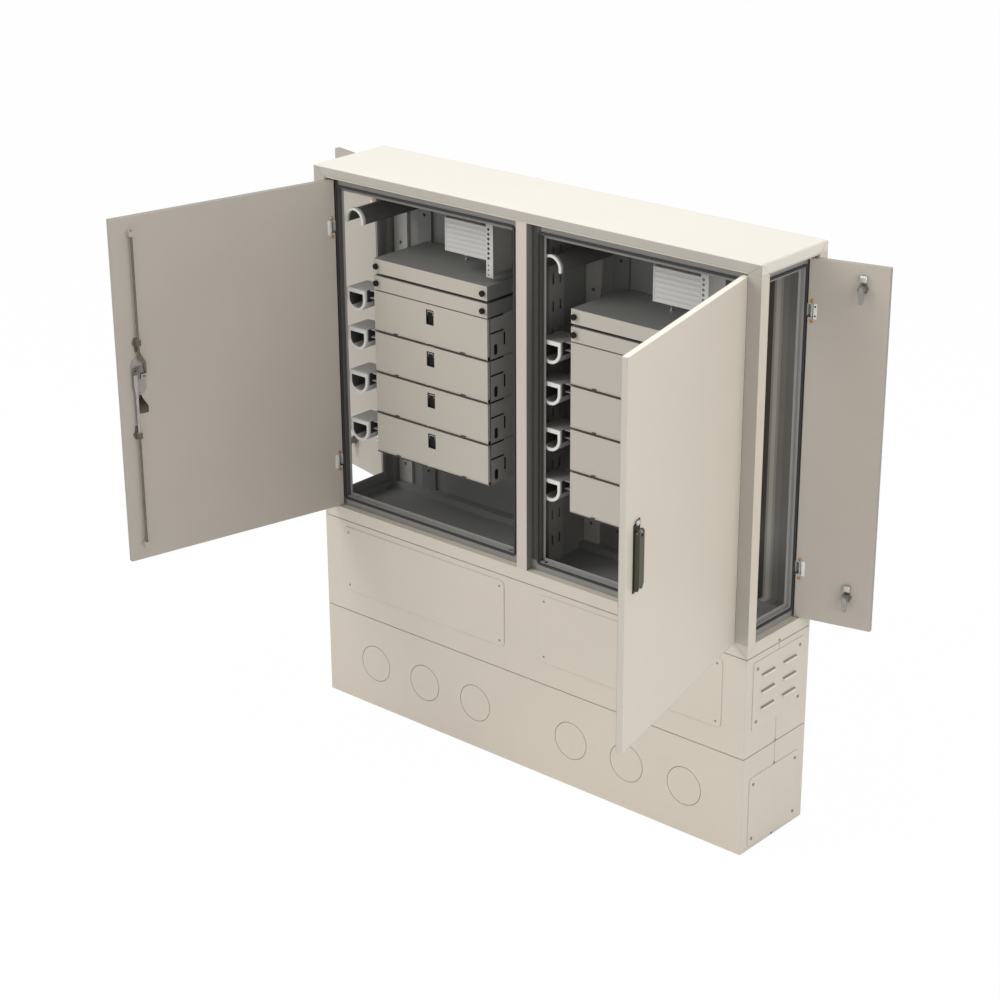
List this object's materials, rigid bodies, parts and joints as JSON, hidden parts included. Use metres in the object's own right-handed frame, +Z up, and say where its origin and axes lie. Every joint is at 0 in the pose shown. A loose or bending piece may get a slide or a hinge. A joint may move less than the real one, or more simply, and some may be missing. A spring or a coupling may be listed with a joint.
{
  "type": "roadside utility cabinet",
  "caption": "Two-bay street cabinet on a pedestal and plinth, with hinged front and side doors, rod locks, racked modules and cable guides.",
  "frame": {"origin": "On the ground, at the centre of the anchor holes in the plinth's foot", "axes": "+X along the width, to the right as seen from the front; +Y from the front face to the rear panel; +Z up"},
  "size_m": [2.0112, 1.0105, 1.725],
  "materials": {
    "cabinet_paint": "smooth satin powder coat, warm cream grey",
    "roof_paint": "smooth satin powder coat, pale cream",
    "liner_paint": "satin powder coat, beige grey",
    "inner_grey": "matt dark grey coat",
    "seat_grey": "satin light grey coat",
    "module_paint": "satin powder coat, pale beige",
    "bright_steel": "zinc plated, satin",
    "dark_steel": "dark plated steel",
    "seal_rubber": "matt foam rubber",
    "white_plastic": "moulded, satin",
    "dark_plastic": "moulded, fine grain",
    "adapter_plastic": "moulded, satin"
  },
  "bodies": {
    "cabinet": {"plinth_front_shell": "cabinet_paint", "plinth_rear_shell": "cabinet_paint", "plinth_side_plates": "cabinet_paint", "duct_plugs": "cabinet_paint", "pedestal_front_shell": "cabinet_paint", "pedestal_rear_shell": "cabinet_paint", "pedestal_cover_plates": "cabinet_paint", "pedestal_vent_plates": "cabinet_paint", "plate_screws": "bright_steel", "corner_posts": "cabinet_paint", "frame_rails": "cabinet_paint", "centre_partition": "cabinet_paint", "roof_cap": "roof_paint", "rear_panel": "cabinet_paint", "cabinet_floor": "inner_grey", "door_seats": "seat_grey", "door_gaskets": "seal_rubber", "hinge_brackets": "bright_steel", "rear_rails": "inner_grey", "module_chassis": "inner_grey", "adapter_panels": "adapter_plastic", "cable_guides": "white_plastic", "splitter_cassettes": "white_plastic", "splitter_holders": "white_plastic"},
    "left_door": {"left_door_skin": "cabinet_paint", "left_door_liner": "liner_paint", "left_handle_plate": "bright_steel"},
    "left_side_door": {"left_side_door_skin": "cabinet_paint", "left_side_door_liner": "liner_paint", "side_lock_barrels_left": "bright_steel"},
    "left_spindle": {"left_handle_spindle": "dark_steel"},
    "left_lever": {"left_handle_lever": "dark_plastic"},
    "left_upper_lock_rod": {"left_upper_rod": "dark_steel"},
    "left_lower_lock_rod": {"left_lower_rod": "dark_steel"},
    "left_lower_lock_cam": {"left_lower_cam": "dark_steel"},
    "left_upper_lock_cam": {"left_upper_cam": "dark_steel"},
    "left_module_cover_1": {"left_cover_1": "module_paint"},
    "left_module_cover_2": {"left_cover_2": "module_paint"},
    "left_module_cover_3": {"left_cover_3": "module_paint"},
    "left_module_cover_4": {"left_cover_4": "module_paint"},
    "left_lower_drawer_box": {"left_lower_drawer": "module_paint"},
    "left_upper_drawer_box": {"left_upper_drawer": "module_paint"},
    "right_door": {"right_door_skin": "cabinet_paint", "right_door_liner": "liner_paint", "right_handle_plate": "bright_steel"},
    "right_side_door": {"right_side_door_skin": "cabinet_paint", "right_side_door_liner": "liner_paint", "side_lock_barrels_right": "bright_steel"},
    "right_spindle": {"right_handle_spindle": "dark_steel"},
    "right_lever": {"right_handle_lever": "dark_plastic"},
    "right_upper_lock_rod": {"right_upper_rod": "dark_steel"},
    "right_lower_lock_rod": {"right_lower_rod": "dark_steel"},
    "right_lower_lock_cam": {"right_lower_cam": "dark_steel"},
    "right_upper_lock_cam": {"right_upper_cam": "dark_steel"},
    "right_module_cover_1": {"right_cover_1": "module_paint"},
    "right_module_cover_2": {"right_cover_2": "module_paint"},
    "right_module_cover_3": {"right_cover_3": "module_paint"},
    "right_module_cover_4": {"right_cover_4": "module_paint"},
    "right_lower_drawer_box": {"right_lower_drawer": "module_paint"},
    "right_upper_drawer_box": {"right_upper_drawer": "module_paint"}
  },
  "joints": [
    {"name": "left_door_hinge", "type": "hinge", "parent": "cabinet", "child": "left_door", "pos_m": [-0.75, -0.141, 1.1705], "axis": [0, 0, -1], "range_deg": [-103, 2]},
    {"name": "left_side_door_hinge", "type": "hinge", "parent": "cabinet", "child": "left_side_door", "pos_m": [-0.796, 0.102, 1.1705], "axis": [0, 0, -1], "range_deg": [-103, 2]},
    {"name": "left_handle_turn", "type": "hinge", "parent": "left_door", "child": "left_spindle", "pos_m": [-0.90049, -0.79285, 1.228], "axis": [0.9744, -0.225, 0], "range_deg": [0, 90]},
    {"name": "left_lever_lift", "type": "hinge", "parent": "left_spindle", "child": "left_lever", "pos_m": [-0.9192, -0.78853, 1.228], "axis": [0.225, 0.9744, 0], "range_deg": [0, 35]},
    {"name": "left_upper_rod_slide", "type": "slide", "parent": "left_door", "child": "left_upper_lock_rod", "axis": [0, 0, 1], "range_m": [0, 0.0198]},
    {"name": "left_lower_rod_slide", "type": "slide", "parent": "left_door", "child": "left_lower_lock_rod", "axis": [0, 0, -1], "range_m": [0, 0.0198]},
    {"name": "left_lower_cam_turn", "type": "hinge", "parent": "left_side_door", "child": "left_lower_lock_cam", "pos_m": [-0.93534, 0.13417, 0.744], "axis": [0.225, 0.9744, 0], "range_deg": [0, 90]},
    {"name": "left_upper_cam_turn", "type": "hinge", "parent": "left_side_door", "child": "left_upper_lock_cam", "pos_m": [-0.93534, 0.13417, 1.625], "axis": [0.225, 0.9744, 0], "range_deg": [0, 90]},
    {"name": "left_cover_1_hinge", "type": "hinge", "parent": "cabinet", "child": "left_module_cover_1", "pos_m": [-0.3945, -0.09925, 1.24105], "axis": [1, 0, 0], "range_deg": [0, 90]},
    {"name": "left_cover_2_hinge", "type": "hinge", "parent": "cabinet", "child": "left_module_cover_2", "pos_m": [-0.3945, -0.09925, 1.11185], "axis": [1, 0, 0], "range_deg": [0, 90]},
    {"name": "left_cover_3_hinge", "type": "hinge", "parent": "cabinet", "child": "left_module_cover_3", "pos_m": [-0.3945, -0.09925, 0.98265], "axis": [1, 0, 0], "range_deg": [0, 90]},
    {"name": "left_cover_4_hinge", "type": "hinge", "parent": "cabinet", "child": "left_module_cover_4", "pos_m": [-0.3945, -0.09925, 0.85345], "axis": [1, 0, 0], "range_deg": [0, 90]},
    {"name": "left_lower_drawer_slide", "type": "slide", "parent": "cabinet", "child": "left_lower_drawer_box", "axis": [0, -1, 0], "range_m": [0, 0.18]},
    {"name": "left_upper_drawer_slide", "type": "slide", "parent": "cabinet", "child": "left_upper_drawer_box", "axis": [0, -1, 0], "range_m": [0, 0.18]},
    {"name": "right_door_hinge", "type": "hinge", "parent": "cabinet", "child": "right_door", "pos_m": [0.75, -0.141, 1.1705], "axis": [0, 0, 1], "range_deg": [-103, 2]},
    {"name": "right_side_door_hinge", "type": "hinge", "parent": "cabinet", "child": "right_side_door", "pos_m": [0.796, 0.102, 1.1705], "axis": [0, 0, 1], "range_deg": [-103, 2]},
    {"name": "right_handle_turn", "type": "hinge", "parent": "right_door", "child": "right_spindle", "pos_m": [0.90049, -0.79285, 1.228], "axis": [0.9744, 0.225, 0], "range_deg": [0, 90]},
    {"name": "right_lever_lift", "type": "hinge", "parent": "right_spindle", "child": "right_lever", "pos_m": [0.9192, -0.78853, 1.228], "axis": [0.225, -0.9744, 0], "range_deg": [0, 35]},
    {"name": "right_upper_rod_slide", "type": "slide", "parent": "right_door", "child": "right_upper_lock_rod", "axis": [0, 0, 1], "range_m": [0, 0.0198]},
    {"name": "right_lower_rod_slide", "type": "slide", "parent": "right_door", "child": "right_lower_lock_rod", "axis": [0, 0, -1], "range_m": [0, 0.0198]},
    {"name": "right_lower_cam_turn", "type": "hinge", "parent": "right_side_door", "child": "right_lower_lock_cam", "pos_m": [0.93534, 0.13417, 0.744], "axis": [0.225, -0.9744, 0], "range_deg": [0, 90]},
    {"name": "right_upper_cam_turn", "type": "hinge", "parent": "right_side_door", "child": "right_upper_lock_cam", "pos_m": [0.93534, 0.13417, 1.625], "axis": [0.225, -0.9744, 0], "range_deg": [0, 90]},
    {"name": "right_cover_1_hinge", "type": "hinge", "parent": "cabinet", "child": "right_module_cover_1", "pos_m": [0.3625, -0.09925, 1.24105], "axis": [1, 0, 0], "range_deg": [0, 90]},
    {"name": "right_cover_2_hinge", "type": "hinge", "parent": "cabinet", "child": "right_module_cover_2", "pos_m": [0.3625, -0.09925, 1.11185], "axis": [1, 0, 0], "range_deg": [0, 90]},
    {"name": "right_cover_3_hinge", "type": "hinge", "parent": "cabinet", "child": "right_module_cover_3", "pos_m": [0.3625, -0.09925, 0.98265], "axis": [1, 0, 0], "range_deg": [0, 90]},
    {"name": "right_cover_4_hinge", "type": "hinge", "parent": "cabinet", "child": "right_module_cover_4", "pos_m": [0.3625, -0.09925, 0.85345], "axis": [1, 0, 0], "range_deg": [0, 90]},
    {"name": "right_lower_drawer_slide", "type": "slide", "parent": "cabinet", "child": "right_lower_drawer_box", "axis": [0, -1, 0], "range_m": [0, 0.18]},
    {"name": "right_upper_drawer_slide", "type": "slide", "parent": "cabinet", "child": "right_upper_drawer_box", "axis": [0, -1, 0], "range_m": [0, 0.18]}
  ],
  "couplings": [
    {"joint": "left_upper_rod_slide", "follows": "left_handle_turn", "m_per_rad": 0.012604},
    {"joint": "left_lower_rod_slide", "follows": "left_handle_turn", "m_per_rad": 0.012604},
    {"joint": "right_upper_rod_slide", "follows": "right_handle_turn", "m_per_rad": 0.012604},
    {"joint": "right_lower_rod_slide", "follows": "right_handle_turn", "m_per_rad": 0.012604}
  ]
}
